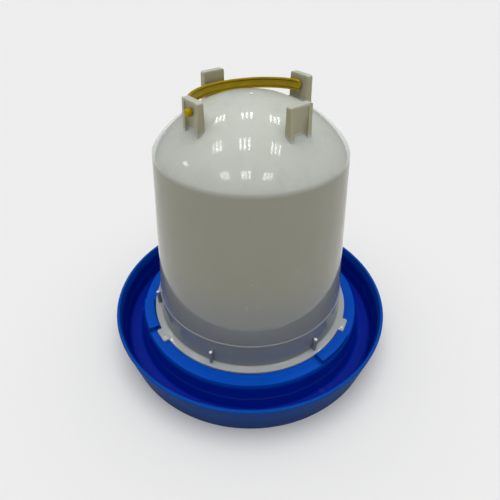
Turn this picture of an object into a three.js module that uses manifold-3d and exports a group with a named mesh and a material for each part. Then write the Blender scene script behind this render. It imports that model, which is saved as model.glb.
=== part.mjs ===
import * as THREE from "three";
import { mergeVertices } from "three/addons/utils/BufferGeometryUtils.js";
import Module from "manifold-3d";

const wasm = await Module();
wasm.setup();

// Millimetres, +Z up. The foot of the tray stands on z = 0, centred on the Z axis.
// The handle swings about an axis along X.

// How finely round shapes are drawn
const turns = 64;
const smallTurns = 12;

// Gaps between pieces
const seatGap = 0.3;
const lugGap = 0.8;
const lugSideGap = 1.0;
const flangeGap = 1.6;
const pegGap = 0.25;
const handleSideGap = 1.0;
const handleSwingGap = 3.2;
const handleRestGap = 0.3;

// Fount: container wall
const shoulderRadius = 104;
const wallDraft = 18.7;
const containerHeight = 224.6;
const fountWall = 2.3;
const domeRise = 53;
const domePeak = 1.67;
const domeRings = 10;
const innerDomeRings = 7;
const gateMarkRadius = 2.2;
const gateMarkHeight = 0.8;
const beadRise = 32.8;
const beadRadius = 1.3;

// Flange at the mouth of the fount
const flangeReach = 8.2;
const flangeThickness = 3;
const flangeFillet = 2.6;

// Bayonet lugs on the flange
const lugReach = 6.3;
const lugLength = 21.4;
const lugCorner = 2.4;
const lugPhase = 56;

// Upright ribs above the flange
const ribCount = 6;
const ribPhase = 30.2;
const ribWeb = 1.6;
const ribPost = 1.9;
const ribReach = 3.1;
const ribHeight = 20.3;

// Tray
const shelfHeight = 44.4;
const shelfWidth = 14.7;
const shelfRounding = 1.4;
const ringDraft = 8.9;
const troughWidth = 15.4;
const troughFloor = 9.6;
const troughCorner = 4.5;
const sideWall = 3.3;
const sideDraft = 9.4;
const rimHeight = 50;
const rimWidth = 4.3;
const rimRounding = 1.4;
const footWidth = 2.8;
const trayWall = 2.4;
const cupInset = 2.6;
const cupDraft = 3;

// Bayonet covers on the tray's shelf
const lockCount = 3;
const lockAngle = 22.3;
const coverRoof = 2.6;
const coverStop = 1.6;
const coverEndGap = 1.5;

// Water gate through the raised ring
const gateWidth = 12;
const gateAngle = 90;

// Legs on the dome
const legCount = 4;
const legInner = 64.3;
const legWidth = 25.8;
const legStandoff = 8.4;
const legTopDepth = 6.4;
const legBaseDepth = 8.8;
const legCorner = 2.2;
const legWebTop = 5.8;
const legWebFoot = 3.6;
const legEdge = 4.2;
const legCap = 2.4;

// Handle
const pivotDrop = 11;
const pegRadius = 3.2;
const knobLip = 0.7;
const knobLength = 5.6;
const strapWidth = 10.8;
const strapThickness = 3.2;
const strapRim = 1.7;
const strapRecess = 0.8;
const handleSteps = 26;

const toRadians = THREE.MathUtils.degToRad;

// Heights that follow from the values above
const flangeBottom = shelfHeight + seatGap;
const flangeTop = flangeBottom + flangeThickness;
const beadHeight = flangeTop + beadRise;
const shoulderHeight = flangeBottom + containerHeight;
const legTop = shoulderHeight + domeRise + legStandoff;
const pivotHeight = legTop - pivotDrop;

// Radii that follow from the values above
const mouthRadius = shoulderRadius + wallDraft;
const flangeRadius = mouthRadius + flangeReach;
const shelfRadius = flangeRadius + shelfWidth;
const shelfFootRadius = shelfRadius + ringDraft;
const footRadius = shelfFootRadius + troughWidth + sideWall;
const rimRadius = footRadius + sideDraft;
const knobRadius = pegRadius + knobLip;
const handleHalfSpan = legInner - handleSideGap - strapThickness / 2;
const handleRise = legInner - handleSwingGap - strapThickness / 2;
const coverInner = flangeRadius + flangeGap;
const pocketRadius = Math.hypot(flangeRadius + lugReach, lugLength / 2) + lugSideGap;
const pocketTop = flangeTop + lugGap;
const coverTop = pocketTop + coverRoof;
const wallSlope = wallDraft / containerHeight;
const cupRadius = mouthRadius - fountWall - cupInset;

function wallRadius(z) {
  return shoulderRadius + (shoulderHeight - z) * wallSlope;
}

function domeHeight(radius) {
  const share = Math.min(radius / shoulderRadius, 1);
  return shoulderHeight + domeRise * Math.pow(1 - share * share, domePeak / 2);
}

function solid(geometry) {
  const bare = geometry.clone();
  bare.deleteAttribute("normal");
  bare.deleteAttribute("uv");
  const merged = mergeVertices(bare, 1e-4);
  const corners = [];
  for (let i = 0; i < merged.index.count; i += 3) {
    const a = merged.index.getX(i);
    const b = merged.index.getX(i + 1);
    const c = merged.index.getX(i + 2);
    if (a !== b && b !== c && c !== a) {
      corners.push(a, b, c);
    }
  }
  return new wasm.Manifold(new wasm.Mesh({
    numProp: 3,
    vertProperties: new Float32Array(merged.attributes.position.array),
    triVerts: new Uint32Array(corners),
  }));
}

function surface(body) {
  const mesh = body.getMesh();
  const geometry = new THREE.BufferGeometry();
  geometry.setAttribute("position", new THREE.BufferAttribute(mesh.vertProperties, 3));
  geometry.setIndex(new THREE.BufferAttribute(mesh.triVerts, 1));
  geometry.computeVertexNormals();
  return geometry;
}

// Profile points are [radius, height], read counter-clockwise
function turned(profile) {
  const points = profile.map(([radius, height]) => new THREE.Vector2(radius, height));
  const geometry = new THREE.LatheGeometry(points, turns);
  geometry.rotateX(Math.PI / 2);
  return solid(geometry);
}

// A flat outline raised from z = low to z = high
function raised(shape, low, high) {
  const geometry = new THREE.ExtrudeGeometry(shape, {
    depth: high - low,
    bevelEnabled: false,
    curveSegments: smallTurns,
  });
  geometry.translate(0, 0, low);
  return geometry;
}

function outline(points) {
  return new THREE.Shape(points.map(([x, y]) => new THREE.Vector2(x, y)));
}

// Outline in X and Z, given a width along Y
function acrossY(shape, width) {
  const geometry = raised(shape, -width / 2, width / 2);
  geometry.rotateX(Math.PI / 2);
  return geometry;
}

// Outline in Y and Z, reaching along X from near to far
function alongX(shape, near, far) {
  const geometry = raised(shape, near, far);
  const turn = new THREE.Matrix4().makeBasis(
    new THREE.Vector3(0, 1, 0),
    new THREE.Vector3(0, 0, 1),
    new THREE.Vector3(1, 0, 0),
  );
  geometry.applyMatrix4(turn);
  return geometry;
}

function block(low, high) {
  const size = high.map((value, i) => value - low[i]);
  const geometry = new THREE.BoxGeometry(size[0], size[1], size[2]);
  geometry.translate(low[0] + size[0] / 2, low[1] + size[1] / 2, low[2] + size[2] / 2);
  return geometry;
}

function rodAlongX(radius, from, to) {
  const geometry = new THREE.CylinderGeometry(radius, radius, to - from, 2 * smallTurns);
  geometry.rotateZ(Math.PI / 2);
  geometry.translate((from + to) / 2, 0, 0);
  return geometry;
}

// A slice of a ring between two angles in degrees
function ringSlice(inner, outer, startAngle, endAngle, low, high) {
  const start = toRadians(startAngle);
  const end = toRadians(endAngle);
  const shape = new THREE.Shape();
  shape.absarc(0, 0, outer, start, end, false);
  shape.absarc(0, 0, inner, end, start, true);
  const geometry = new THREE.ExtrudeGeometry(shape, {
    depth: high - low,
    bevelEnabled: false,
    curveSegments: 6,
  });
  geometry.translate(0, 0, low);
  return solid(geometry);
}

function turnedBy(geometry, angle) {
  const copy = geometry.clone();
  copy.rotateZ(toRadians(angle));
  return solid(copy);
}

// ---- Tray: drinking trough, raised ring and cup

function trayProfile() {
  const under = troughFloor - trayWall;
  const floorCorner = troughCorner;
  const wallLean = sideDraft / rimHeight;
  const innerAt = (z) => footRadius + wallLean * z - sideWall;
  const cupFoot = cupRadius - cupDraft;
  return [
    [0, under],
    [cupFoot + trayWall, under],
    [cupRadius + trayWall, shelfHeight - trayWall],
    [shelfRadius - trayWall, shelfHeight - trayWall],
    [shelfFootRadius - trayWall, under],
    [footRadius - footWidth, under],
    [footRadius - footWidth, 0],
    [footRadius, 0],
    [rimRadius - wallLean * rimRounding, rimHeight - rimRounding],
    [rimRadius - rimRounding, rimHeight],
    [rimRadius - rimWidth + rimRounding, rimHeight],
    [rimRadius - rimWidth, rimHeight - rimRounding],
    [innerAt(troughFloor + floorCorner), troughFloor + floorCorner],
    [innerAt(troughFloor) - 0.35 * floorCorner, troughFloor + 0.3 * floorCorner],
    [innerAt(troughFloor) - 1.3 * floorCorner, troughFloor],
    [shelfFootRadius + 0.6 * floorCorner, troughFloor],
    [shelfFootRadius - 0.3 * floorCorner, troughFloor + 0.6 * floorCorner],
    [shelfRadius, shelfHeight - shelfRounding],
    [shelfRadius - shelfRounding, shelfHeight],
    [cupRadius + shelfRounding, shelfHeight],
    [cupRadius, shelfHeight - shelfRounding],
    [cupFoot, troughFloor + shelfRounding],
    [cupFoot - shelfRounding, troughFloor],
    [0, troughFloor],
  ];
}

function lockCover(lugCentre) {
  const lugHalf = THREE.MathUtils.radToDeg(Math.asin(lugLength / 2 / flangeRadius));
  const openEnd = lugCentre - lugHalf - coverEndGap;
  const stopFace = lugCentre - lugHalf - lockAngle - 0.3;
  const stopAngle = THREE.MathUtils.radToDeg(coverStop / coverInner);
  const low = shelfHeight - trayWall / 2;
  const cover = ringSlice(coverInner, shelfRadius, stopFace - stopAngle, openEnd, low, coverTop);
  const pocket = ringSlice(
    coverInner - 2, pocketRadius, stopFace, openEnd + 2, shelfHeight, pocketTop);
  return cover.subtract(pocket);
}

function makeTray() {
  let tray = turned(trayProfile());
  for (let i = 0; i < lockCount; i += 1) {
    tray = tray.add(lockCover(lugPhase + (360 / lockCount) * i));
  }
  const under = troughFloor - trayWall;
  const wallHalf = gateWidth / 2 + trayWall;
  const from = cupRadius - cupDraft - 2;
  const to = shelfFootRadius + troughCorner;
  // The gate's side walls stay inside the raised ring
  const ringFill = turned([
    [cupRadius - cupDraft + 0.5, under],
    [shelfFootRadius - 0.5, under],
    [shelfRadius - 0.5, shelfHeight - trayWall / 2],
    [cupRadius + 0.5, shelfHeight - trayWall / 2],
    [cupRadius - cupDraft + 0.5, under],
  ]);
  const cheeks = turnedBy(block([from, -wallHalf, under], [to, wallHalf, shelfHeight]), gateAngle);
  const channel = turnedBy(
    block([from, -gateWidth / 2, troughFloor], [to, gateWidth / 2, coverTop + 1]), gateAngle);
  return tray.add(ringFill.intersect(cheeks)).subtract(channel);
}

// ---- Fount: container with flange, lugs, ribs and legs

function domePoints(rise, radius, base, rings) {
  const points = [];
  for (let i = 0; i <= rings; i += 1) {
    const angle = (i / rings) * (Math.PI / 2);
    points.push([radius * Math.cos(angle), base + rise * Math.pow(Math.sin(angle), domePeak)]);
  }
  points[rings][0] = 0;
  return points;
}

function outerFount() {
  const profile = [
    [0, flangeBottom],
    [flangeRadius, flangeBottom],
    [flangeRadius, flangeTop - 0.5],
    [flangeRadius - 0.5, flangeTop],
    [wallRadius(flangeTop) + flangeFillet, flangeTop],
    [wallRadius(flangeTop) + 0.3 * flangeFillet, flangeTop + 0.3 * flangeFillet],
    [wallRadius(flangeTop + flangeFillet), flangeTop + flangeFillet],
    [wallRadius(beadHeight - beadRadius), beadHeight - beadRadius],
    [wallRadius(beadHeight) + 0.8 * beadRadius, beadHeight - 0.5 * beadRadius],
    [wallRadius(beadHeight) + 0.8 * beadRadius, beadHeight + 0.5 * beadRadius],
    [wallRadius(beadHeight + beadRadius), beadHeight + beadRadius],
    ...domePoints(domeRise, shoulderRadius, shoulderHeight, domeRings),
  ];
  return turned(profile);
}

function innerFount() {
  const radius = shoulderRadius - fountWall;
  const base = shoulderHeight - 0.5 * fountWall;
  const rise = domeRise - 0.6 * fountWall;
  const below = flangeBottom - 4;
  const profile = [
    [0, below],
    [wallRadius(below) - fountWall, below],
    ...domePoints(rise, radius, base, innerDomeRings),
  ];
  return turned(profile);
}

function makeLeg() {
  const foot = domeHeight(legInner + legBaseDepth + 8);
  const side = outline([
    [legInner, foot],
    [legInner + legBaseDepth, foot],
    [legInner + legTopDepth, legTop],
    [legInner, legTop],
  ]);
  const half = legWidth / 2;
  const front = new THREE.Shape();
  front.moveTo(-half, foot);
  front.lineTo(half, foot);
  front.lineTo(half, legTop - legCorner);
  front.absarc(half - legCorner, legTop - legCorner, legCorner, 0, Math.PI / 2, false);
  front.absarc(legCorner - half, legTop - legCorner, legCorner, Math.PI / 2, Math.PI, false);
  const far = legInner + legBaseDepth + 2;
  const body = solid(acrossY(side, legWidth + 2)).intersect(solid(alongX(front, legInner - 1, far)));
  const channelHalf = half - legEdge;
  const channel = outline([
    [legInner + legWebFoot, foot - 1],
    [far, foot - 1],
    [far, legTop - legCap],
    [legInner + legWebTop, legTop - legCap],
  ]);
  return body.subtract(solid(acrossY(channel, 2 * channelHalf)));
}

function makeLug() {
  const half = lugLength / 2;
  const near = flangeRadius - 4;
  const far = flangeRadius + lugReach;
  const shape = new THREE.Shape();
  shape.moveTo(near, -half);
  shape.lineTo(far - lugCorner, -half);
  shape.absarc(far - lugCorner, lugCorner - half, lugCorner, -Math.PI / 2, 0, false);
  shape.absarc(far - lugCorner, half - lugCorner, lugCorner, 0, Math.PI / 2, false);
  shape.lineTo(near, half);
  return new THREE.ExtrudeGeometry(shape, {
    depth: flangeThickness,
    bevelEnabled: false,
    curveSegments: 4,
  }).translate(0, 0, flangeBottom);
}

function makeRib() {
  const foot = flangeTop - flangeThickness / 2;
  const top = flangeTop + ribHeight;
  const centre = wallRadius(flangeTop) + ribReach;
  const webTop = top - 0.5 * ribPost;
  const web = acrossY(outline([
    [wallRadius(foot) - fountWall, foot],
    [centre, foot],
    [centre, webTop],
    [wallRadius(webTop) - 0.5 * fountWall, webTop],
  ]), ribWeb);
  const post = new THREE.LatheGeometry([
    [0, foot],
    [ribPost, foot],
    [ribPost, top - 0.6 * ribPost],
    [0.7 * ribPost, top - 0.15 * ribPost],
    [0, top],
  ].map(([radius, height]) => new THREE.Vector2(radius, height)), smallTurns);
  post.rotateX(Math.PI / 2);
  post.translate(centre, 0, 0);
  return [web, post];
}

function makeFount() {
  let fount = outerFount();
  const mark = new THREE.CylinderGeometry(
    gateMarkRadius, gateMarkRadius, fountWall, smallTurns);
  mark.rotateX(Math.PI / 2);
  mark.translate(0, 0, shoulderHeight + domeRise + gateMarkHeight - fountWall / 2);
  fount = fount.add(solid(mark));
  const leg = makeLeg();
  for (let i = 0; i < legCount; i += 1) {
    fount = fount.add(leg.rotate([0, 0, (360 / legCount) * i]));
  }
  const lug = makeLug();
  for (let i = 0; i < lockCount; i += 1) {
    fount = fount.add(turnedBy(lug, lugPhase + (360 / lockCount) * i));
  }
  for (const part of makeRib()) {
    for (let i = 0; i < ribCount; i += 1) {
      fount = fount.add(turnedBy(part, ribPhase + (360 / ribCount) * i));
    }
  }
  const reach = legInner + legBaseDepth + 5;
  const holes = rodAlongX(pegRadius + pegGap, -reach, reach);
  holes.translate(0, 0, pivotHeight);
  const between = block(
    [-legInner + 2, -legWidth, pivotHeight - 10], [legInner - 2, legWidth, pivotHeight + 10]);
  return fount.subtract(innerFount()).subtract(solid(holes).subtract(solid(between)));
}

// ---- Handle: bowed strap with a snap peg at each end

class Bow extends THREE.Curve {
  constructor(halfSpan, rise) {
    super();
    this.halfSpan = halfSpan;
    this.rise = rise;
  }

  getPoint(share) {
    const angle = share * Math.PI;
    return new THREE.Vector3(
      this.halfSpan * Math.cos(angle),
      0,
      this.rise * Math.sin(angle),
    );
  }
}

// Width along X, thickness along Y
function strapSection() {
  const halfWidth = strapWidth / 2;
  const halfThick = strapThickness / 2;
  const web = halfThick - strapRecess;
  const corner = 0.5;
  const rim = halfWidth - strapRim;
  return outline([
    [halfWidth, corner - halfThick],
    [halfWidth, halfThick - corner],
    [halfWidth - corner, halfThick],
    [rim, halfThick],
    [rim - corner, web],
    [corner - rim, web],
    [-rim, halfThick],
    [corner - halfWidth, halfThick],
    [-halfWidth, halfThick - corner],
    [-halfWidth, corner - halfThick],
    [corner - halfWidth, -halfThick],
    [-rim, -halfThick],
    [corner - rim, -web],
    [rim - corner, -web],
    [rim, -halfThick],
    [halfWidth - corner, -halfThick],
  ]);
}

function makeHandle() {
  const strap = new THREE.ExtrudeGeometry(strapSection(), {
    steps: handleSteps,
    bevelEnabled: false,
    extrudePath: new Bow(handleHalfSpan, handleRise),
  });
  let handle = solid(strap);
  const inner = handleHalfSpan - strapThickness / 2;
  const outer = handleHalfSpan + strapThickness / 2;
  const knobStart = legInner + legWebTop + handleRestGap;
  for (const side of [0, Math.PI]) {
    const boss = rodAlongX(strapWidth / 2, inner, outer);
    const peg = rodAlongX(pegRadius, inner + 0.5, knobStart + 1);
    const knobPoints = [
      [0, 0],
      [knobRadius, 0],
      [knobRadius, 0.35 * knobLength],
      [0.93 * knobRadius, 0.58 * knobLength],
      [0.72 * knobRadius, 0.82 * knobLength],
      [0.38 * knobRadius, 0.96 * knobLength],
      [0, knobLength],
    ].map(([radius, height]) => new THREE.Vector2(radius, height));
    const knob = new THREE.LatheGeometry(knobPoints, 2 * smallTurns);
    knob.rotateZ(-Math.PI / 2);
    knob.translate(knobStart, 0, 0);
    for (const piece of [boss, peg, knob]) {
      piece.rotateZ(side);
      handle = handle.add(solid(piece));
    }
  }
  return handle;
}

// The handle lies folded on the dome: its edge stops just clear of the dome
function foldAngle() {
  const half = strapWidth / 2;
  for (let angle = 80; angle < 130; angle += 0.25) {
    const lean = toRadians(angle);
    for (const side of [-1, 1]) {
      const across = handleRise + (side * strapThickness) / 2;
      const radius = across * Math.sin(lean) + half * Math.cos(lean);
      const height = pivotHeight + across * Math.cos(lean) - half * Math.sin(lean);
      if (height - domeHeight(Math.abs(radius)) < handleRestGap) {
        return angle - 0.25;
      }
    }
  }
  return 90;
}

const tray = new THREE.Mesh(surface(makeTray()), new THREE.MeshStandardMaterial({
  color: 0x0a4fb4, roughness: 0.38, metalness: 0,
}));
tray.name = "base_tray";

const fount = new THREE.Mesh(surface(makeFount()), new THREE.MeshStandardMaterial({
  color: 0xe4e8e2, roughness: 0.3, metalness: 0,
}));
fount.name = "fount";

const handle = new THREE.Mesh(surface(makeHandle()), new THREE.MeshStandardMaterial({
  color: 0xb29a10, roughness: 0.4, metalness: 0,
}));
handle.name = "carry_handle";
handle.rotation.x = -toRadians(foldAngle());
handle.position.z = pivotHeight;

const waterer = new THREE.Group();
waterer.name = "poultry_waterer";
waterer.add(tray, fount, handle);

export default waterer;
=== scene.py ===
import math

import bpy
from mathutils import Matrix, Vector


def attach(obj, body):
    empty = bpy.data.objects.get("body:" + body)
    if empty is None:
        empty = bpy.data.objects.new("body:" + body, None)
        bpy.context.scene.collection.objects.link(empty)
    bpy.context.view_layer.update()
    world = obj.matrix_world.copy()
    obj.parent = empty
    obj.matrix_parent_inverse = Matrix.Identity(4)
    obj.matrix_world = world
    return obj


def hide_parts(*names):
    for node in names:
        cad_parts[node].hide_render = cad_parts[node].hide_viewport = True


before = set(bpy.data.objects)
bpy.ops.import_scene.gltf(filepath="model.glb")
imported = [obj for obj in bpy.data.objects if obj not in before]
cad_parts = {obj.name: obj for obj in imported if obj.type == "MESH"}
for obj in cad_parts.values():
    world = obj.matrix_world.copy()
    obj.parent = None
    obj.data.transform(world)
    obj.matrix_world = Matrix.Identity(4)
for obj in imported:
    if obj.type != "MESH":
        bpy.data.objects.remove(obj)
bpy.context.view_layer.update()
mm = 0.001


def deselectAll():
    if bpy.context.object and bpy.context.object.mode != "OBJECT":
        bpy.ops.object.mode_set(mode="OBJECT")
    bpy.ops.object.select_all(action="DESELECT")


def pick(piece):
    deselectAll()
    piece.select_set(True)
    bpy.context.view_layer.objects.active = piece


def editWhole(piece):
    pick(piece)
    bpy.ops.object.mode_set(mode="EDIT")
    bpy.ops.mesh.select_all(action="SELECT")


def shiftVerts(piece, test, alongX):
    # moves the vertices that pass the test along X, in mm
    pick(piece)
    bpy.ops.object.mode_set(mode="EDIT")
    bpy.ops.mesh.select_mode(type="VERT")
    bpy.ops.mesh.select_all(action="DESELECT")
    objectMode()
    for vert in piece.data.vertices:
        vert.select = test(vert.co)
    bpy.ops.object.mode_set(mode="EDIT")
    bpy.ops.transform.translate(value=(alongX * mm, 0, 0))
    objectMode()


def objectMode():
    bpy.ops.object.mode_set(mode="OBJECT")


def settle(piece):
    # place, turn and scale go into the mesh
    pick(piece)
    bpy.ops.object.transform_apply(location=True, rotation=True, scale=True)
    return piece


def cleanSolid(piece, weld=0.00001):
    editWhole(piece)
    bpy.ops.mesh.remove_doubles(threshold=weld)
    bpy.ops.mesh.normals_make_consistent(inside=False)
    objectMode()
    return piece


def combine(piece, tool, how):
    # how is UNION, DIFFERENCE or INTERSECT; the tool is used up
    pick(piece)
    change = piece.modifiers.new(how.lower(), "BOOLEAN")
    change.operation = how
    change.solver = "EXACT"
    change.object = tool
    bpy.ops.object.modifier_apply(modifier=change.name)
    bpy.data.objects.remove(tool, do_unlink=True)
    return piece


def bevelEdges(piece, width, segments=3, angle=30):
    pick(piece)
    edge = piece.modifiers.new("edges", "BEVEL")
    edge.width = width * mm
    edge.segments = segments
    edge.limit_method = "ANGLE"
    edge.angle_limit = math.radians(angle)
    edge.harden_normals = False
    bpy.ops.object.modifier_apply(modifier=edge.name)
    return piece


def roundEdges(piece, test, width, segments):
    # bevels only the edges whose two ends pass the test
    pick(piece)
    bpy.ops.object.mode_set(mode="EDIT")
    bpy.ops.mesh.select_mode(type="EDGE")
    bpy.ops.mesh.select_all(action="DESELECT")
    objectMode()
    points = piece.data.vertices
    for edge in piece.data.edges:
        edge.select = test(points[edge.vertices[0]].co, points[edge.vertices[1]].co)
    bpy.ops.object.mode_set(mode="EDIT")
    bpy.ops.mesh.bevel(offset=width * mm, segments=segments, affect="EDGES")
    objectMode()


def smooth(piece, angle=32):
    pick(piece)
    bpy.ops.object.shade_smooth_by_angle(angle=math.radians(angle))
    return piece


def copyTurned(piece, name, degrees):
    pick(piece)
    bpy.ops.object.duplicate(linked=False)
    twin = bpy.context.object
    twin.name = name
    twin.rotation_euler = (0, 0, math.radians(degrees))
    return settle(twin)


def roundCorners(corners, steps=5):
    # corners are (across, up, rounding) in mm; returns the outline with its corners rounded
    outline = []
    last = len(corners) - 1
    for index, (across, up, rounding) in enumerate(corners):
        here = Vector((across, up))
        if rounding <= 0 or index in (0, last):
            outline.append(here)
            continue
        before = Vector(corners[index - 1][:2]) - here
        after = Vector(corners[index + 1][:2]) - here
        reach = min(rounding / math.tan(before.angle(after) / 2), 0.49 * before.length, 0.49 * after.length)
        first = here + before.normalized() * reach
        second = here + after.normalized() * reach
        for step in range(steps + 1):
            share = step / steps
            outline.append((1 - share) ** 2 * first + 2 * share * (1 - share) * here + share ** 2 * second)
    return outline


def drawOutline(name, outline, closed):
    # one vertex, extruded point by point in the XZ plane
    deselectAll()
    bpy.ops.mesh.primitive_plane_add(size=mm)
    piece = bpy.context.object
    piece.name = name
    editWhole(piece)
    bpy.ops.mesh.merge(type="CENTER")
    start = Vector((outline[0][0], 0, outline[0][1])) * mm
    bpy.ops.transform.translate(value=start)
    place = start
    for across, up in outline[1:]:
        here = Vector((across, 0, up)) * mm
        bpy.ops.mesh.extrude_vertices_move(TRANSFORM_OT_translate={"value": here - place})
        place = here
    bpy.ops.mesh.select_all(action="SELECT")
    if closed:
        bpy.ops.mesh.edge_face_add()
    objectMode()
    return piece


def spinSolid(name, outline, steps=256, degrees=360, start=0, closed=False):
    piece = drawOutline(name, outline, closed)
    if start:
        piece.rotation_euler = (0, 0, math.radians(start))
        settle(piece)
    editWhole(piece)
    bpy.ops.mesh.spin(steps=steps, angle=math.radians(degrees), center=(0, 0, 0), axis=(0, 0, -1))
    objectMode()
    return cleanSolid(piece, 0.000004)


def addBlock(name, low, high):
    # a box between two corners in mm
    deselectAll()
    size = [(b - a) * mm for a, b in zip(low, high)]
    middle = [(a + b) / 2 * mm for a, b in zip(low, high)]
    bpy.ops.mesh.primitive_cube_add(size=1, location=middle, scale=size)
    piece = bpy.context.object
    piece.name = name
    return settle(piece)


# heights and radii shared by the pieces that meet, in mm
seat = dict(
    shelfHeight=44.4, flangeBottom=44.7, flangeTop=47.7, flangeRadius=130.9,
    shoulderRadius=104.0, shoulderHeight=269.3, wallSlope=18.7 / 224.6,
    lugPhase=56, lugLength=21.4, lugReach=6.3, legInner=64.3, pivotHeight=319.7,
)


def wallRadius(height):
    return seat["shoulderRadius"] + (seat["shoulderHeight"] - height) * seat["wallSlope"]


# the tray

trayShape = dict(
    floor=9.6, wall=2.4, rimHeight=50.0, rimRadius=182.3, rimWidth=4.2, rimRounding=1.6,
    footRadius=173.2, footWidth=2.8, sideWall=3.3, shelfRadius=145.6, shelfRounding=1.6,
    shelfFoot=154.5, cupRadius=117.8, cupDraft=3.0, corner=5.0,
    coverTop=51.1, pocketTop=48.5, coverInner=132.5, pocketRadius=138.6, coverTurn=22.3,
    coverGap=1.5, coverStop=1.6, coverSink=1.2, coverEdge=0.45, stopTurn=0.3,
    gateWidth=12.0, cheekInset=0.5, blend=1.0,
)


def makeTray(shape):
    floor, wall = shape["floor"], shape["wall"]
    under = floor - wall
    shelf = seat["shelfHeight"]
    lean = (shape["rimRadius"] - shape["footRadius"]) / shape["rimHeight"]
    innerFoot = shape["footRadius"] + lean * floor - shape["sideWall"]
    cupFoot = shape["cupRadius"] - shape["cupDraft"]
    outline = roundCorners([
        (0, under, 0),
        (cupFoot + wall, under, shape["blend"]),
        (shape["cupRadius"] + wall, shelf - wall, shape["blend"]),
        (shape["shelfRadius"] - wall, shelf - wall, shape["blend"]),
        (shape["shelfFoot"] - wall, under, shape["blend"]),
        (shape["footRadius"] - shape["footWidth"], under, shape["blend"]),
        (shape["footRadius"] - shape["footWidth"], 0, 0.5),
        (shape["footRadius"], 0, 0.5),
        (shape["rimRadius"], shape["rimHeight"], shape["rimRounding"]),
        (shape["rimRadius"] - shape["rimWidth"], shape["rimHeight"], shape["rimRounding"]),
        (innerFoot, floor, shape["corner"]),
        (shape["shelfFoot"], floor, shape["corner"] * 0.8),
        (shape["shelfRadius"], shelf, shape["shelfRounding"]),
        (shape["cupRadius"], shelf, 1.2),
        (cupFoot, floor, 1.6),
        (0, floor, 0),
    ])
    tray = spinSolid("drinkingTray", outline)
    lugHalf = math.degrees(math.asin(seat["lugLength"] / 2 / seat["flangeRadius"]))
    for lock in range(3):
        centre = seat["lugPhase"] + 120 * lock
        openEnd = centre - lugHalf - shape["coverGap"]
        stopFace = centre - lugHalf - shape["coverTurn"] - shape["stopTurn"]
        stopWidth = math.degrees(shape["coverStop"] / shape["coverInner"])
        sunk = shelf - shape["coverSink"]
        outer = shape["shelfRadius"] - 0.1
        body = roundCorners([
            (shape["coverInner"], sunk, 0),
            (outer, sunk, 0),
            (outer, shape["coverTop"], 1.2),
            (shape["coverInner"], shape["coverTop"], 0.6),
            (shape["coverInner"], sunk, 0),
        ])[:-1]
        cover = spinSolid("cover", body, 24, openEnd - stopFace + stopWidth, stopFace - stopWidth, True)
        bevelEdges(cover, shape["coverEdge"], 3, 60)
        room = [
            Vector((shape["coverInner"] - 2, shelf)),
            Vector((shape["pocketRadius"], shelf)),
            Vector((shape["pocketRadius"], shape["pocketTop"])),
            Vector((shape["coverInner"] - 2, shape["pocketTop"])),
        ]
        pocket = spinSolid("pocket", room, 24, openEnd - stopFace + 2, stopFace, True)
        combine(cover, pocket, "DIFFERENCE")
        combine(tray, cover, "UNION")
    # the water gate has a cheek on each side, inside the raised ring
    inset = shape["cheekInset"]
    ring = spinSolid("ringFill", [
        Vector((cupFoot + inset, under)),
        Vector((shape["shelfFoot"] - inset, under)),
        Vector((shape["shelfRadius"] - inset, shelf - wall / 2)),
        Vector((shape["cupRadius"] + inset, shelf - wall / 2)),
        Vector((cupFoot + inset, under)),
    ], 128)
    half = shape["gateWidth"] / 2
    past = shape["shelfFoot"] + 5
    cheeks = addBlock("cheeks", (-half - wall, cupFoot - 2, under), (half + wall, past, shelf))
    combine(cheeks, ring, "INTERSECT")
    combine(tray, cheeks, "UNION")
    channel = addBlock("channel", (-half, cupFoot - 3, floor), (half, past, shape["coverTop"] + 1))
    combine(tray, channel, "DIFFERENCE")
    cleanSolid(tray, 0.000002)
    return smooth(tray)


tray = makeTray(trayShape)
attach(tray, "tray")
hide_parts("base_tray")
print("tray made:", len(tray.data.polygons), "faces")


# the fount

fountShape = dict(
    wall=2.3, domeRise=53.0, domePeak=1.67, domeRings=40, fillet=2.6, edge=0.5,
    beadHeight=80.5, beadRadius=1.3, markRadius=2.2, markHeight=0.8,
    ribPhase=30.2, ribWeb=1.6, ribPost=1.9, ribReach=3.1, ribHeight=20.3,
    legWidth=25.8, legTop=330.7, legTopDepth=6.4, legBaseDepth=8.8, legCorner=2.2,
    legWebTop=5.8, legWebFoot=3.6, legEdge=4.2, legCap=2.4, pegHole=3.45,
    legRound=0.6, channelRound=1.2, lugCorner=2.4, lugRound=0.4, ribRound=0.35, postRound=1.5,
)


def domeHeight(shape, radius):
    share = min(radius / seat["shoulderRadius"], 1)
    return seat["shoulderHeight"] + shape["domeRise"] * (1 - share * share) ** (shape["domePeak"] / 2)


def domeOutline(rise, radius, base, peak, rings):
    outline = []
    for ring in range(rings + 1):
        turn = ring / rings * math.pi / 2
        across = radius * math.cos(turn) if ring < rings else 0
        outline.append((across, base + rise * math.sin(turn) ** peak, 0))
    return outline


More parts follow.
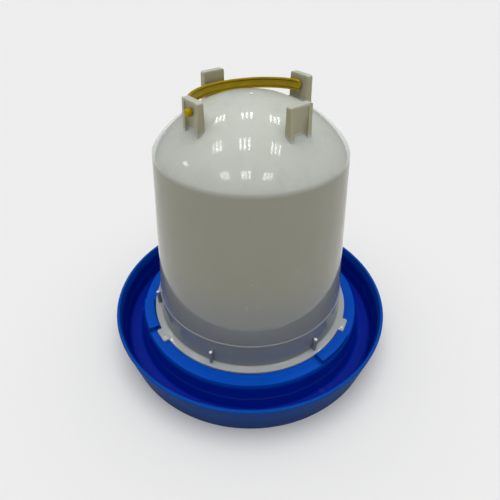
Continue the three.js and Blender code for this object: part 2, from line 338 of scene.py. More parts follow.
def makeLeg(shape):
    inner = seat["legInner"]
    half = shape["legWidth"] / 2
    foot = domeHeight(shape, inner + shape["legBaseDepth"] + 8)
    top = shape["legTop"]
    leg = addBlock("leg", (inner, -half, foot), (inner + shape["legBaseDepth"], half, top))
    # the outer face leans in towards the top
    shiftVerts(leg, lambda co: co.x > (inner + 1) * mm and co.z > (top - 1) * mm,
               shape["legTopDepth"] - shape["legBaseDepth"])
    # the two upper corners, seen from outside
    roundEdges(leg, lambda a, b: min(a.z, b.z) > (top - 1) * mm and abs(a.y - b.y) < 0.01 * mm,
               shape["legCorner"], 8)
    channel = addBlock(
        "channel", (inner + shape["legWebTop"], shape["legEdge"] - half, foot - 5),
        (inner + shape["legBaseDepth"] + 4, half - shape["legEdge"], top - shape["legCap"]))
    # the channel grows deeper towards the dome
    shiftVerts(channel, lambda co: co.x < (inner + 8) * mm and co.z < foot * mm,
               shape["legWebFoot"] - shape["legWebTop"])
    bevelEdges(channel, shape["channelRound"], 5, 60)
    combine(leg, channel, "DIFFERENCE")
    bevelEdges(leg, shape["legRound"], 4, 40)
    return cleanSolid(leg, 0.000002)


def makeLug(shape):
    half = seat["lugLength"] / 2
    near = seat["flangeRadius"] - 5
    far = seat["flangeRadius"] + seat["lugReach"]
    lug = addBlock("lug", (near, -half, seat["flangeBottom"]), (far, half, seat["flangeTop"]))
    roundEdges(lug, lambda a, b: min(a.x, b.x) > (far - 1) * mm and abs(a.y - b.y) < 0.01 * mm,
               shape["lugCorner"], 6)
    return bevelEdges(lug, shape["lugRound"], 2, 50)


def makeRib(shape):
    # a thin web against the wall that ends in a round post
    foot = seat["flangeTop"] - 1.5
    top = seat["flangeTop"] + shape["ribHeight"]
    back = wallRadius(seat["flangeTop"]) - shape["wall"]
    centre = wallRadius(seat["flangeTop"]) + shape["ribReach"]
    half = shape["ribWeb"] / 2
    webTop = top - shape["ribPost"] * 0.5
    rib = addBlock("rib", (back, -half, foot), (centre, half, webTop))
    # its back follows the wall's slope
    shiftVerts(rib, lambda co: co.x < (back + 1) * mm and co.z > (webTop - 1) * mm,
               wallRadius(webTop) - wallRadius(seat["flangeTop"]))
    bevelEdges(rib, shape["ribRound"], 3, 60)
    post = spinSolid("post", roundCorners([
        (0, foot, 0),
        (shape["ribPost"], foot, 0),
        (shape["ribPost"], top, shape["postRound"]),
        (0, top, 0)], 6), 32)
    post.location = (centre * mm, 0, 0)
    return combine(rib, settle(post), "UNION")


def makeFount(shape):
    foot, flangeTop = seat["flangeBottom"], seat["flangeTop"]
    bead, beadRadius = shape["beadHeight"], shape["beadRadius"]
    beadLine = []
    for step in range(9):
        turn = -math.pi / 2 + step / 8 * math.pi
        height = bead + beadRadius * math.sin(turn)
        beadLine.append((wallRadius(height) + 0.85 * beadRadius * math.cos(turn), height, 0))
    outline = roundCorners([
        (0, foot, 0),
        (seat["flangeRadius"], foot, 0.4),
        (seat["flangeRadius"], flangeTop, shape["edge"]),
        (wallRadius(flangeTop), flangeTop, shape["fillet"]),
        (wallRadius(bead - 12), bead - 12, 0),
        *beadLine,
        (wallRadius(160), 160, 0),
        *domeOutline(shape["domeRise"], seat["shoulderRadius"], seat["shoulderHeight"],
                     shape["domePeak"], shape["domeRings"]),
    ])
    fount = spinSolid("fountBody", outline)
    peak = seat["shoulderHeight"] + shape["domeRise"]
    mark = spinSolid("gateMark", roundCorners([
        (0, peak - 1.5, 0),
        (shape["markRadius"], peak - 1.5, 0),
        (shape["markRadius"], peak + shape["markHeight"], 0.5),
        (0, peak + shape["markHeight"], 0),
    ]), 32)
    combine(fount, mark, "UNION")
    leg = makeLeg(shape)
    for quarter in range(1, 4):
        combine(fount, copyTurned(leg, "leg", 90 * quarter), "UNION")
    combine(fount, leg, "UNION")
    lug = makeLug(shape)
    for third in range(3):
        combine(fount, copyTurned(lug, "lug", seat["lugPhase"] + 120 * third), "UNION")
    bpy.data.objects.remove(lug, do_unlink=True)
    rib = makeRib(shape)
    for sixth in range(6):
        combine(fount, copyTurned(rib, "rib", shape["ribPhase"] + 60 * sixth), "UNION")
    bpy.data.objects.remove(rib, do_unlink=True)
    below = foot - 4
    inside = roundCorners([
        (0, below, 0),
        (wallRadius(below) - shape["wall"], below, 0),
        *domeOutline(shape["domeRise"] - 0.6 * shape["wall"], seat["shoulderRadius"] - shape["wall"],
                     seat["shoulderHeight"] - 0.5 * shape["wall"], shape["domePeak"], 24),
    ])
    combine(fount, spinSolid("inside", inside, 192), "DIFFERENCE")
    for side in (-1, 1):
        deselectAll()
        bpy.ops.mesh.primitive_cylinder_add(
            vertices=48, radius=shape["pegHole"] * mm, depth=30 * mm, rotation=(0, math.pi / 2, 0),
            location=(side * (seat["legInner"] + 5) * mm, 0, seat["pivotHeight"] * mm))
        combine(fount, settle(bpy.context.object), "DIFFERENCE")
    cleanSolid(fount, 0.000002)
    return smooth(fount)


fount = makeFount(fountShape)
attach(fount, "fount")
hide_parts("fount")
print("fount made:", len(fount.data.polygons), "faces")


# the handle

handleShape = dict(
    halfSpan=61.7, rise=59.5, width=10.8, thickness=3.2, rim=1.7, recess=0.8,
    pegRadius=3.2, knobRadius=3.9, knobLength=5.6, knobStart=70.4, foldAngle=95.25,
    edgeRound=0.45, knobShoulder=0.66, knobRound=2.6, knobEdge=0.4,
)


def makeHandle(shape):
    halfWidth, halfThick = shape["width"] / 2, shape["thickness"] / 2
    web, rim = halfThick - shape["recess"], halfWidth - shape["rim"]
    span = shape["halfSpan"]
    # the strap's section, with a raised rim along both edges
    half = [(rim - 0.5, -web), (rim, -halfThick), (halfWidth, -halfThick), (halfWidth, halfThick),
            (rim, halfThick), (rim - 0.5, web)]
    ring = half + [(-across, -thick) for across, thick in half]
    corners = [(span + thick, across, shape["edgeRound"]) for across, thick in ring]
    corners = corners + corners[:2]
    outline = roundCorners(corners, 4)[1:-1]
    strap = drawOutline("carryStrap", outline, True)
    # lay the section across the strap: height along Y, thickness along X
    strap.rotation_euler = (math.pi / 2, 0, 0)
    settle(strap)
    editWhole(strap)
    bpy.ops.mesh.spin(steps=96, angle=math.pi, center=(0, 0, 0), axis=(0, 1, 0))
    bpy.ops.mesh.select_all(action="SELECT")
    bpy.ops.transform.resize(value=(1, 1, shape["rise"] / span), center_override=(0, 0, 0))
    objectMode()
    cleanSolid(strap)
    start, radius, length = shape["knobStart"], shape["knobRadius"], shape["knobLength"]
    shoulder, rounding = shape["knobShoulder"], shape["knobRound"]
    end = [(0, span - halfThick, 0), (halfWidth, span - halfThick, shape["edgeRound"]),
           (halfWidth, span + halfThick, shape["edgeRound"]), (0, span + halfThick, 0)]
    peg = [(0, span, 0), (shape["pegRadius"], span, 0), (shape["pegRadius"], start + 1, 0), (0, start + 1, 0)]
    knob = [(0, start, 0), (radius, start, shape["knobEdge"]), (radius, start + length * shoulder, rounding),
            (radius * shoulder, start + length, rounding), (0, start + length, 0)]
    for side in (-1, 1):
        # the strap's round end, the peg and the snap head
        for outline in (roundCorners(end), roundCorners(peg), roundCorners(knob, 6)):
            part = spinSolid("part", outline, 64)
            part.rotation_euler = (0, side * math.pi / 2, 0)
            combine(strap, settle(part), "UNION")
    strap.rotation_euler = (-math.radians(shape["foldAngle"]), 0, 0)
    strap.location = (0, 0, seat["pivotHeight"] * mm)
    settle(strap)
    cleanSolid(strap, 0.000002)
    return smooth(strap)


handle = makeHandle(handleShape)
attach(handle, "handle")
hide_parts("carry_handle")
print("handle made:", len(handle.data.polygons), "faces")


# effects that more than one material uses

def newGroup(name, inputs, outputs):
    group = bpy.data.node_groups.new(name, "ShaderNodeTree")
    for title, kind, value in inputs:
        socket = group.interface.new_socket(name=title, in_out="INPUT", socket_type=kind)
        if value is not None:
            socket.default_value = value
    for title, kind in outputs:
        group.interface.new_socket(name=title, in_out="OUTPUT", socket_type=kind)
    return group, group.nodes.new("NodeGroupInput"), group.nodes.new("NodeGroupOutput")


def mathNode(tree, how, first, second=None, third=None, clamp=False):
    node = tree.nodes.new("ShaderNodeMath")
    node.operation = how
    node.use_clamp = clamp
    for socket, value in zip(node.inputs, (first, second, third)):
        if value is None:
            continue
        if isinstance(value, (int, float)):
            socket.default_value = value
        else:
            tree.links.new(value, socket)
    return node.outputs[0]


def rangeNode(tree, value, low, high, toLow=0.0, toHigh=1.0):
    node = tree.nodes.new("ShaderNodeMapRange")
    node.interpolation_type = "SMOOTHSTEP"
    tree.links.new(value, node.inputs["Value"])
    node.inputs["From Min"].default_value = low
    node.inputs["From Max"].default_value = high
    node.inputs["To Min"].default_value = toLow
    node.inputs["To Max"].default_value = toHigh
    return node.outputs["Result"]


def bandNode(tree, value, start, full, fade, end):
    # rises from start to full, then falls from fade to end
    rising = rangeNode(tree, value, start, full)
    return mathNode(tree, "MULTIPLY", rising, rangeNode(tree, value, fade, end, 1.0, 0.0))


def scaled(tree, mask, amount):
    return mathNode(tree, "MULTIPLY", mask, amount)


def noiseNode(tree, vector, scale, detail=3.0, roughness=0.5, scaleSocket=None):
    node = tree.nodes.new("ShaderNodeTexNoise")
    node.inputs["Scale"].default_value = scale
    node.inputs["Detail"].default_value = detail
    node.inputs["Roughness"].default_value = roughness
    tree.links.new(vector, node.inputs["Vector"])
    if scaleSocket is not None:
        tree.links.new(scaleSocket, node.inputs["Scale"])
    return node.outputs["Fac"]


def stretched(tree, vector, scale):
    node = tree.nodes.new("ShaderNodeMapping")
    node.inputs["Scale"].default_value = scale
    tree.links.new(vector, node.inputs["Vector"])
    return node.outputs["Vector"]


def mixColor(tree, factor, first, second, how="MIX"):
    node = tree.nodes.new("ShaderNodeMix")
    node.data_type = "RGBA"
    node.blend_type = how
    for socket, value in ((node.inputs[0], factor), (node.inputs[6], first), (node.inputs[7], second)):
        if isinstance(value, (int, float)):
            socket.default_value = value
        elif isinstance(value, tuple):
            socket.default_value = (*value, 1)
        else:
            tree.links.new(value, socket)
    return node.outputs[2]


def makeScuffs():
    # thin broken scratches lying two ways, gathered in patches
    group, start, end = newGroup(
        "scuffs", [("Vector", "NodeSocketVector", None), ("Scale", "NodeSocketFloat", 60.0)],
        [("Mask", "NodeSocketFloat")])
    lines = []
    for stretch in ((1, 1, 0.08), (0.5, 0.12, 1)):
        along = stretched(group, start.outputs["Vector"], stretch)
        fine = noiseNode(group, along, 60, 2, 0.6, start.outputs["Scale"])
        band = mathNode(group, "ABSOLUTE", mathNode(group, "SUBTRACT", fine, 0.5))
        lines.append(rangeNode(group, band, 0.0, 0.012, 1.0, 0.0))
    both = mathNode(group, "MAXIMUM", *lines)
    patch = rangeNode(group, noiseNode(group, start.outputs["Vector"], 22, 2), 0.5, 0.68)
    group.links.new(mathNode(group, "MULTIPLY", both, patch), end.inputs["Mask"])
    return group


def makeGrain():
    # fine moulded grain with a slow waviness under it
    group, start, end = newGroup(
        "mouldGrain", [("Vector", "NodeSocketVector", None), ("Grain", "NodeSocketFloat", 0.5)],
        [("Height", "NodeSocketFloat"), ("Tone", "NodeSocketFloat")])
    fine = noiseNode(group, start.outputs["Vector"], 900, 2)
    slow = noiseNode(group, start.outputs["Vector"], 14, 2)
    height = mathNode(group, "MULTIPLY_ADD", fine, start.outputs["Grain"], slow)
    group.links.new(height, end.inputs["Height"])
    group.links.new(slow, end.inputs["Tone"])
    return group


def makeDust():
    # specks and a thin film that settle on faces turned up
    group, start, end = newGroup(
        "dust", [("Vector", "NodeSocketVector", None), ("Film", "NodeSocketFloat", 0.3)],
        [("Mask", "NodeSocketFloat")])
    speck = group.nodes.new("ShaderNodeTexVoronoi")
    speck.inputs["Scale"].default_value = 130
    group.links.new(start.outputs["Vector"], speck.inputs["Vector"])
    dots = rangeNode(group, speck.outputs["Distance"], 0.02, 0.06, 1.0, 0.0)
    chance = rangeNode(group, noiseNode(group, start.outputs["Vector"], 35, 1), 0.60, 0.68)
    dots = mathNode(group, "MULTIPLY", dots, chance)
    turned = group.nodes.new("ShaderNodeNewGeometry")
    split = group.nodes.new("ShaderNodeSeparateXYZ")
    group.links.new(turned.outputs["Normal"], split.inputs["Vector"])
    up = rangeNode(group, split.outputs["Z"], 0.3, 0.95)
    cloud = rangeNode(group, noiseNode(group, start.outputs["Vector"], 30, 4, 0.65), 0.35, 0.75)
    film = mathNode(group, "MULTIPLY", mathNode(group, "MULTIPLY", cloud, up), start.outputs["Film"])
    group.links.new(mathNode(group, "MAXIMUM", film, dots), end.inputs["Mask"])
    return group


scuffs, mouldGrain, dust = makeScuffs(), makeGrain(), makeDust()


def startMaterial(name, ior, level):
    material = bpy.data.materials.new(name)
    material.use_nodes = True
    tree = material.node_tree
    shader = tree.nodes["Principled BSDF"]
    shader.inputs["IOR"].default_value = ior
    shader.inputs["Specular IOR Level"].default_value = level
    place = tree.nodes.new("ShaderNodeTexCoord").outputs["Object"]
    return material, tree, shader, place


def useGroup(tree, group, place, **values):
    node = tree.nodes.new("ShaderNodeGroup")
    node.node_tree = group
    tree.links.new(place, node.inputs["Vector"])
    for title, value in values.items():
        node.inputs[title].default_value = value
    return node


def addBump(tree, shader, height, strength, distance):
    bump = tree.nodes.new("ShaderNodeBump")
    bump.inputs["Strength"].default_value = strength
    bump.inputs["Distance"].default_value = distance
    tree.links.new(height, bump.inputs["Height"])
    tree.links.new(bump.outputs["Normal"], shader.inputs["Normal"])


def splitPlace(tree, place):
    # distance from the axis and height, both in metres
    split = tree.nodes.new("ShaderNodeSeparateXYZ")
    tree.links.new(place, split.inputs["Vector"])
    across = mathNode(tree, "MULTIPLY", split.outputs["X"], split.outputs["X"])
    across = mathNode(tree, "MULTIPLY_ADD", split.outputs["Y"], split.outputs["Y"], across)
    return mathNode(tree, "SQRT", across), split.outputs["Z"], split


def ringMarks(tree, radius, split, scale):
    # marks that run round the axis: noise that changes with the radius and only slowly along the turn
    join = tree.nodes.new("ShaderNodeCombineXYZ")
    tree.links.new(mathNode(tree, "MULTIPLY", radius, scale), join.inputs["X"])
    turn = mathNode(tree, "ARCTAN2", split.outputs["Y"], split.outputs["X"])
    tree.links.new(mathNode(tree, "MULTIPLY", mathNode(tree, "SINE", turn), 1.5), join.inputs["Y"])
    tree.links.new(mathNode(tree, "MULTIPLY", mathNode(tree, "COSINE", turn), 1.5), join.inputs["Z"])
    return noiseNode(tree, join.outputs["Vector"], 1, 3, 0.6)


# heights and radii in the looks are in metres; a band gives start, full, fade and end
trayLook = dict(
    blue=(0.0004, 0.062, 0.43), deepShade=(0.0001, 0.006, 0.235), shadedSkirt=(0.001, 0.038, 0.180),
    rim=(0.001, 0.052, 0.29), pale=(0.07, 0.20, 0.48), dust=(0.16, 0.24, 0.36),
    ior=1.45, gloss=0.05, roughness=0.36, grain=0.35, bump=0.25, bumpDepth=0.00012, toneChange=0.9,
    troughBand=(0.1445, 0.1475, 0.1765, 0.1785), troughTop=(0.036, 0.044), troughShadeShare=0.88,
    waterLine=(0.0250, 0.0262, 0.0262, 0.0290), waterWave=0.004, waterShare=0.10,
    skirtLean=-0.184, skirtEdge=(0.1718, 0.1728), skirtShadeShare=0.9, skirtRough=0.14,
    rimEdge=(0.1770, 0.1785), rimUp=(0.0470, 0.0490), rimShadeShare=0.8,
    shelfBand=(0.1170, 0.1185, 0.1435, 0.1450), shelfUp=(0.0435, 0.0440), ringScale=1400, rubShare=0.14,
    scuffScale=70, scuffShare=0.10, wornRough=0.5, film=0.02, filmShare=0.3, filmRough=0.4,
)


def makeTrayBlue(look):
    material, tree, shader, place = startMaterial("trayBlue", look["ior"], look["gloss"])
    radius, height, split = splitPlace(tree, place)
    grain = useGroup(tree, mouldGrain, place, Grain=look["grain"])
    darker = tuple(look["toneChange"] * part for part in look["blue"])
    color = mixColor(tree, rangeNode(tree, grain.outputs["Tone"], 0.3, 0.7), look["blue"], darker)
    # the trough is painted darker, as painted shade, with a faint line where the water stands
    troughShade = bandNode(tree, radius, *look["troughBand"])
    troughShade = mathNode(tree, "MULTIPLY", troughShade, rangeNode(tree, height, *look["troughTop"], 1.0, 0.0))
    color = mixColor(tree, scaled(tree, troughShade, look["troughShadeShare"]), color, look["deepShade"])
    level = mathNode(tree, "MULTIPLY_ADD", noiseNode(tree, place, 40, 2), look["waterWave"], height)
    line = mathNode(tree, "MULTIPLY", bandNode(tree, level, *look["waterLine"]), troughShade)
    color = mixColor(tree, scaled(tree, line, look["waterShare"]), color, look["pale"])
    # the outer skirt is painted darker and duller, as painted shade, and made rougher
    lean = mathNode(tree, "MULTIPLY_ADD", height, look["skirtLean"], radius)
    shadedSkirt = rangeNode(tree, lean, *look["skirtEdge"])
    color = mixColor(tree, scaled(tree, shadedSkirt, look["skirtShadeShare"]), color, look["shadedSkirt"])
    # painted shade: the rim's top is painted darker
    rim = rangeNode(tree, radius, *look["rimEdge"])
    rim = mathNode(tree, "MULTIPLY", rim, rangeNode(tree, height, *look["rimUp"]))
    color = mixColor(tree, scaled(tree, rim, look["rimShadeShare"]), color, look["rim"])
    # rings rubbed into the shelf by the turning flange
    rings = rangeNode(tree, ringMarks(tree, radius, split, look["ringScale"]), 0.56, 0.66)
    shelf = bandNode(tree, radius, *look["shelfBand"])
    shelf = mathNode(tree, "MULTIPLY", shelf, rangeNode(tree, height, *look["shelfUp"]))
    rubbed = scaled(tree, mathNode(tree, "MULTIPLY", rings, shelf), look["rubShare"])
    scratch = useGroup(tree, scuffs, place, Scale=look["scuffScale"]).outputs["Mask"]
    worn = mathNode(tree, "MAXIMUM", rubbed, scaled(tree, scratch, look["scuffShare"]))
    color = mixColor(tree, worn, color, look["pale"])
    film = useGroup(tree, dust, place, Film=look["film"]).outputs["Mask"]
    color = mixColor(tree, scaled(tree, film, look["filmShare"]), color, look["dust"])
    tree.links.new(color, shader.inputs["Base Color"])
    rough = mathNode(tree, "MULTIPLY_ADD", worn, look["wornRough"], look["roughness"])
    rough = mathNode(tree, "MULTIPLY_ADD", shadedSkirt, look["skirtRough"], rough)
    rough = mathNode(tree, "MULTIPLY_ADD", film, look["filmRough"], rough)
    tree.links.new(rough, shader.inputs["Roughness"])
    addBump(tree, shader, grain.outputs["Height"], look["bump"], look["bumpDepth"])
    return material


fountLook = dict(
    white=(0.505, 0.53, 0.485), wall=(0.305, 0.300, 0.236), legs=(0.395, 0.375, 0.235),
    blueReflectionAndShade=(0.190, 0.222, 0.265), flange=(0.37, 0.393, 0.387), paleTipAndHighlight=(0.78, 0.79, 0.80),
    smudge=(0.27, 0.26, 0.20), dust=(0.45, 0.45, 0.40),
    ior=1.5, gloss=0.5, roughness=0.035, grain=0.01, bump=0.18, bumpDepth=0.00025,
    glow=0.25, glowReach=0.004, glowRadius=(1.0, 0.9, 0.7),
    shoulder=(0.2645, 0.2715), legStart=(0.0012, 0.0045), legRough=0.25, legEnds=(0.3281, 0.3305),
    legEndShare=0.75, gateEdge=(0.0026, 0.0030), gateRise=0.0004,
    lowFade=(0.055, 0.185), lowStart=(0.0480, 0.0495), blueShadeShare=0.85, flangeEnd=(0.0478, 0.0495),
    postEdge=(0.1230, 0.1236), postUp=(0.0660, 0.0672),
    beadBand=(0.0788, 0.0794, 0.0818, 0.0824), beadRough=0.35,
    streakStretch=(90, 90, 1.6), streakShare=0.10, cloudShare=0.10, cloudRough=0.08,
    scuffScale=85, scuffShare=0.10, scuffRough=0.25, film=0.15, filmShare=0.22, filmRough=0.3,
)


def makeFountWhite(look):
    material, tree, shader, place = startMaterial("fountWhite", look["ior"], look["gloss"])
    radius, height, split = splitPlace(tree, place)
    grain = useGroup(tree, mouldGrain, place, Grain=look["grain"])
    # the dome's height over each point tells the legs from the dome
    share = scaled(tree, radius, 1 / (seat["shoulderRadius"] * mm))
    square = mathNode(tree, "MULTIPLY", share, share)
    bend = mathNode(tree, "MULTIPLY_ADD", square, -1.0, 1.0, clamp=True)
    bend = mathNode(tree, "POWER", bend, fountShape["domePeak"] / 2)
    dome = mathNode(tree, "MULTIPLY_ADD", bend, fountShape["domeRise"] * mm, seat["shoulderHeight"] * mm)
    legs = rangeNode(tree, mathNode(tree, "SUBTRACT", height, dome), *look["legStart"])
    # painted shade: below the shoulder the upright wall is painted darker and yellower than the dome
    below = rangeNode(tree, height, *look["shoulder"], 1.0, 0.0)
    color = mixColor(tree, below, look["white"], look["wall"])
    # painted shade: the legs are painted darker and yellower than the dome, and their top ends are painted
    # back towards the dome's white
    color = mixColor(tree, legs, color, look["legs"])
    legEnds = rangeNode(tree, height, *look["legEnds"], 0.0, look["legEndShare"])
    color = mixColor(tree, legEnds, color, look["white"])
    peak = (seat["shoulderHeight"] + fountShape["domeRise"]) * mm
    gate = rangeNode(tree, radius, *look["gateEdge"], 1.0, 0.0)
    gate = mathNode(tree, "MULTIPLY", gate, rangeNode(tree, height, peak, peak + look["gateRise"]))
    color = mixColor(tree, gate, color, look["paleTipAndHighlight"])
    # painted reflection and painted shade: low on the wall the colour turns darker and bluer, for the blue
    # tray, which is mirrored in the wall and shows through it
    low = rangeNode(tree, height, *look["lowFade"], 1.0, 0.0)
    low = mathNode(tree, "MULTIPLY", low, rangeNode(tree, height, *look["lowStart"]))
    color = mixColor(tree, scaled(tree, low, look["blueShadeShare"]), color, look["blueReflectionAndShade"])
    # painted light and shade: the flange, its upright side too, is painted a bluish grey, lighter than the
    # shaded wall above and darker than the dome
    color = mixColor(tree, rangeNode(tree, height, *look["flangeEnd"], 1.0, 0.0), color, look["flange"])
    # painted highlight: the rounded tops of the rib posts are painted near white
    post = rangeNode(tree, radius, *look["postEdge"])
    post = mathNode(tree, "MULTIPLY", post, rangeNode(tree, height, *look["postUp"]))
    color = mixColor(tree, post, color, look["paleTipAndHighlight"])
    bead = bandNode(tree, height, *look["beadBand"])
    # upright flow streaks of the moulding, and a faint cloudiness
    streak = noiseNode(tree, stretched(tree, place, look["streakStretch"]), 1, 3, 0.6)
    streak = scaled(tree, rangeNode(tree, streak, 0.45, 0.75), look["streakShare"])
    color = mixColor(tree, streak, color, look["smudge"])
    cloud = noiseNode(tree, place, 20, 4, 0.6)
    cloudy = scaled(tree, rangeNode(tree, cloud, 0.52, 0.78), look["cloudShare"])
    color = mixColor(tree, cloudy, color, look["smudge"])
    scratch = useGroup(tree, scuffs, place, Scale=look["scuffScale"]).outputs["Mask"]
    color = mixColor(tree, scaled(tree, scratch, look["scuffShare"]), color, look["smudge"])
    film = useGroup(tree, dust, place, Film=look["film"]).outputs["Mask"]
    color = mixColor(tree, scaled(tree, film, look["filmShare"]), color, look["dust"])
    tree.links.new(color, shader.inputs["Base Color"])
    rough = mathNode(tree, "MULTIPLY_ADD", scratch, look["scuffRough"], look["roughness"])
    rough = mathNode(tree, "MULTIPLY_ADD", legs, look["legRough"], rough)
    rough = mathNode(tree, "MULTIPLY_ADD", bead, look["beadRough"], rough)
    rough = mathNode(tree, "MULTIPLY_ADD", rangeNode(tree, cloud, 0.4, 0.8), look["cloudRough"], rough)
    rough = mathNode(tree, "MULTIPLY_ADD", film, look["filmRough"], rough)
    tree.links.new(rough, shader.inputs["Roughness"])
    shader.inputs["Subsurface Weight"].default_value = look["glow"]
    shader.inputs["Subsurface Radius"].default_value = look["glowRadius"]
    shader.inputs["Subsurface Scale"].default_value = look["glowReach"]
    addBump(tree, shader, grain.outputs["Height"], look["bump"], look["bumpDepth"])
    return material


handleLook = dict(
    yellow=(0.415, 0.285, 0.0006), shade=(0.345, 0.232, 0.0004), deepShade=(0.13, 0.085, 0.0002),
    pale=(0.50, 0.42, 0.10), ior=1.45, gloss=0.2, roughness=0.20, grain=0.5, bump=0.3, bumpDepth=0.00015,
    flowStretch=(60, 60, 240), creaseIn=(0.0012, 0.0006), creaseOut=(0.0001, 0.0003), creaseShadeShare=0.85,
    strapEnd=(0.0635, 0.0655), wornEdge=(0.53, 0.60), edgeShare=0.22,
    scuffScale=120, scuffShare=0.25, wornRough=0.4, film=0.12, filmShare=0.08, filmRough=0.3,
)


def creaseShadeMask(tree, place, look):
    # painted shade: a dark line on both sides, where the recess meets the raised edges, with the strap turned
    # upright
    split = tree.nodes.new("ShaderNodeSeparateXYZ")
    tree.links.new(place, split.inputs["Vector"])
    fold = math.radians(handleShape["foldAngle"])
    above = mathNode(tree, "SUBTRACT", split.outputs["Z"], seat["pivotHeight"] * mm)
    across = mathNode(tree, "SUBTRACT", scaled(tree, split.outputs["Y"], math.cos(fold)),
                      scaled(tree, above, math.sin(fold)))
    rim = (handleShape["width"] / 2 - handleShape["rim"]) * mm
    start, full = (rim - width for width in look["creaseIn"])
    fade, end = rim - look["creaseOut"][0], rim + look["creaseOut"][1]
    creaseShade = bandNode(tree, mathNode(tree, "ABSOLUTE", across), start, full, fade, end)
    aside = mathNode(tree, "ABSOLUTE", split.outputs["X"])
    strapOnly = rangeNode(tree, aside, *look["strapEnd"], look["creaseShadeShare"], 0.0)
    return mathNode(tree, "MULTIPLY", creaseShade, strapOnly)


def makeStrapYellow(look):
    material, tree, shader, place = startMaterial("strapYellow", look["ior"], look["gloss"])
    grain = useGroup(tree, mouldGrain, place, Grain=look["grain"])
    flow = noiseNode(tree, stretched(tree, place, look["flowStretch"]), 1, 3, 0.55)
    color = mixColor(tree, rangeNode(tree, flow, 0.3, 0.7), look["yellow"], look["shade"])
    # painted shade darkens the two creases beside the raised edges
    color = mixColor(tree, creaseShadeMask(tree, place, look), color, look["deepShade"])
    scratch = useGroup(tree, scuffs, place, Scale=look["scuffScale"]).outputs["Mask"]
    edge = tree.nodes.new("ShaderNodeNewGeometry").outputs["Pointiness"]
    edge = scaled(tree, rangeNode(tree, edge, *look["wornEdge"]), look["edgeShare"])
    worn = mathNode(tree, "MAXIMUM", scaled(tree, scratch, look["scuffShare"]), edge)
    color = mixColor(tree, worn, color, look["pale"])
    film = useGroup(tree, dust, place, Film=look["film"]).outputs["Mask"]
    color = mixColor(tree, scaled(tree, film, look["filmShare"]), color, look["pale"])
    tree.links.new(color, shader.inputs["Base Color"])
    rough = mathNode(tree, "MULTIPLY_ADD", worn, look["wornRough"], look["roughness"])
    rough = mathNode(tree, "MULTIPLY_ADD", film, look["filmRough"], rough)
    tree.links.new(rough, shader.inputs["Roughness"])
    addBump(tree, shader, grain.outputs["Height"], look["bump"], look["bumpDepth"])
    return material


finishes = (
    (tray, makeTrayBlue(trayLook)),
    (fount, makeFountWhite(fountLook)),
    (handle, makeStrapYellow(handleLook)),
)
for piece, material in finishes:
    piece.data.materials.clear()
    piece.data.materials.append(material)
print("materials made")


# floor, light and camera

floorLook = dict(tone=(0.67, 0.67, 0.67), size=14)


def makeFloor(look):
    deselectAll()
    bpy.ops.mesh.primitive_plane_add(size=look["size"], location=(0, 0, 0))
    floor = bpy.context.object
    floor.name = "paleFloor"
    material = bpy.data.materials.new("paleFloor")
    material.use_nodes = True
    shader = material.node_tree.nodes["Principled BSDF"]
    shader.inputs["Base Color"].default_value = (*look["tone"], 1)
    shader.inputs["Roughness"].default_value = 1
    shader.inputs["Specular IOR Level"].default_value = 0
    floor.data.materials.append(material)


lightPlan = dict(
    overhead=2.9, side=0.04, openingLow=0.55, openingHigh=0.95, backdrop=0.85,
    tubes=3, tubeLength=0.42, tubeWidth=0.045, tubeGap=0.13, tubePower=0.85, ceiling=2.4, turn=141.3,
    places=((0.16, 1.77), (0.73, 1.11), (1.36, 0.55), (-0.77, 0.77), (-0.15, 0.11), (0.56, -0.53),
            (-1.53, -0.29), (-0.90, -0.85), (-0.28, -1.40), (-2.20, 2.10)),
)


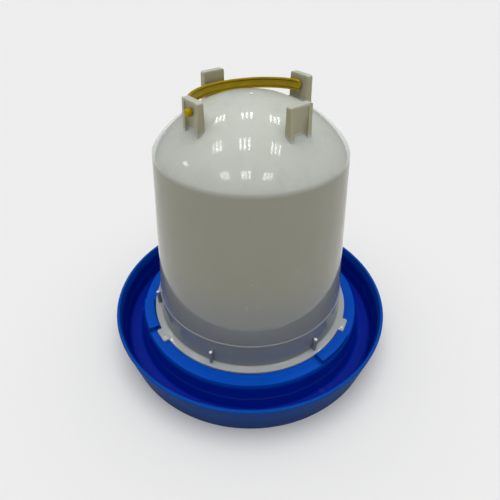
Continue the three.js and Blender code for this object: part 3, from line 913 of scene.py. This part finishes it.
def makeSky(plan):
    # a soft light from above that fades towards the sides
    world = bpy.data.worlds.new("overhead")
    bpy.context.scene.world = world
    world.use_nodes = True
    tree = world.node_tree
    split = tree.nodes.new("ShaderNodeSeparateXYZ")
    tree.links.new(tree.nodes.new("ShaderNodeTexCoord").outputs["Generated"], split.inputs["Vector"])
    up = split.outputs["Z"]
    strength = rangeNode(tree, up, plan["openingLow"], plan["openingHigh"], plan["side"], plan["overhead"])
    # past the floor's edge a pale backdrop is seen, which gives no light
    seen = tree.nodes.new("ShaderNodeLightPath").outputs["Is Camera Ray"]
    change = mathNode(tree, "SUBTRACT", plan["backdrop"], strength)
    strength = mathNode(tree, "MULTIPLY_ADD", seen, change, strength)
    tree.links.new(strength, tree.nodes["Background"].inputs["Strength"])
    tree.nodes["Background"].inputs["Color"].default_value = (1, 1, 1, 1)
    world.cycles_visibility.glossy = False  # only the tubes and the floor are mirrored


def makeTubes(plan):
    turn = math.radians(plan["turn"])
    for number, (x, y) in enumerate(plan["places"]):
        for tube in range(plan["tubes"]):
            aside = (tube - (plan["tubes"] - 1) / 2) * plan["tubeGap"]
            deselectAll()
            bpy.ops.object.light_add(type="AREA", location=(
                x + aside * math.cos(turn), y + aside * math.sin(turn), plan["ceiling"]))
            light = bpy.context.object
            light.name = "tube%d%d" % (number, tube)
            light.rotation_euler = (0, 0, turn)
            light.data.shape = "RECTANGLE"
            light.data.size = plan["tubeWidth"]
            light.data.size_y = plan["tubeLength"]
            light.data.energy = plan["tubePower"]
            light.visible_diffuse = False


cameraPlan = dict(distance=0.40226, height=0.45015, tilt=38.96, side=231.3, roll=0.35, turn=0.07, lens=28.8)


def makeCamera(plan):
    deselectAll()
    side = math.radians(plan["side"])
    bpy.ops.object.camera_add(location=(
        plan["distance"] * math.cos(side), plan["distance"] * math.sin(side), plan["height"]))
    camera = bpy.context.object
    camera.name = "camera"
    camera.data.sensor_width = 36
    camera.data.lens = plan["lens"]
    look = math.radians(plan["side"] + 90 + plan["turn"])
    camera.rotation_mode = "XYZ"
    camera.rotation_euler = (math.radians(90 - plan["tilt"]), 0, look)
    camera.rotation_euler.rotate_axis("Z", math.radians(plan["roll"]))
    bpy.context.scene.camera = camera


makeFloor(floorLook)
makeSky(lightPlan)
makeTubes(lightPlan)
makeCamera(cameraPlan)
scene = bpy.context.scene
scene.view_settings.view_transform = "Standard"
print("floor, light and camera made")
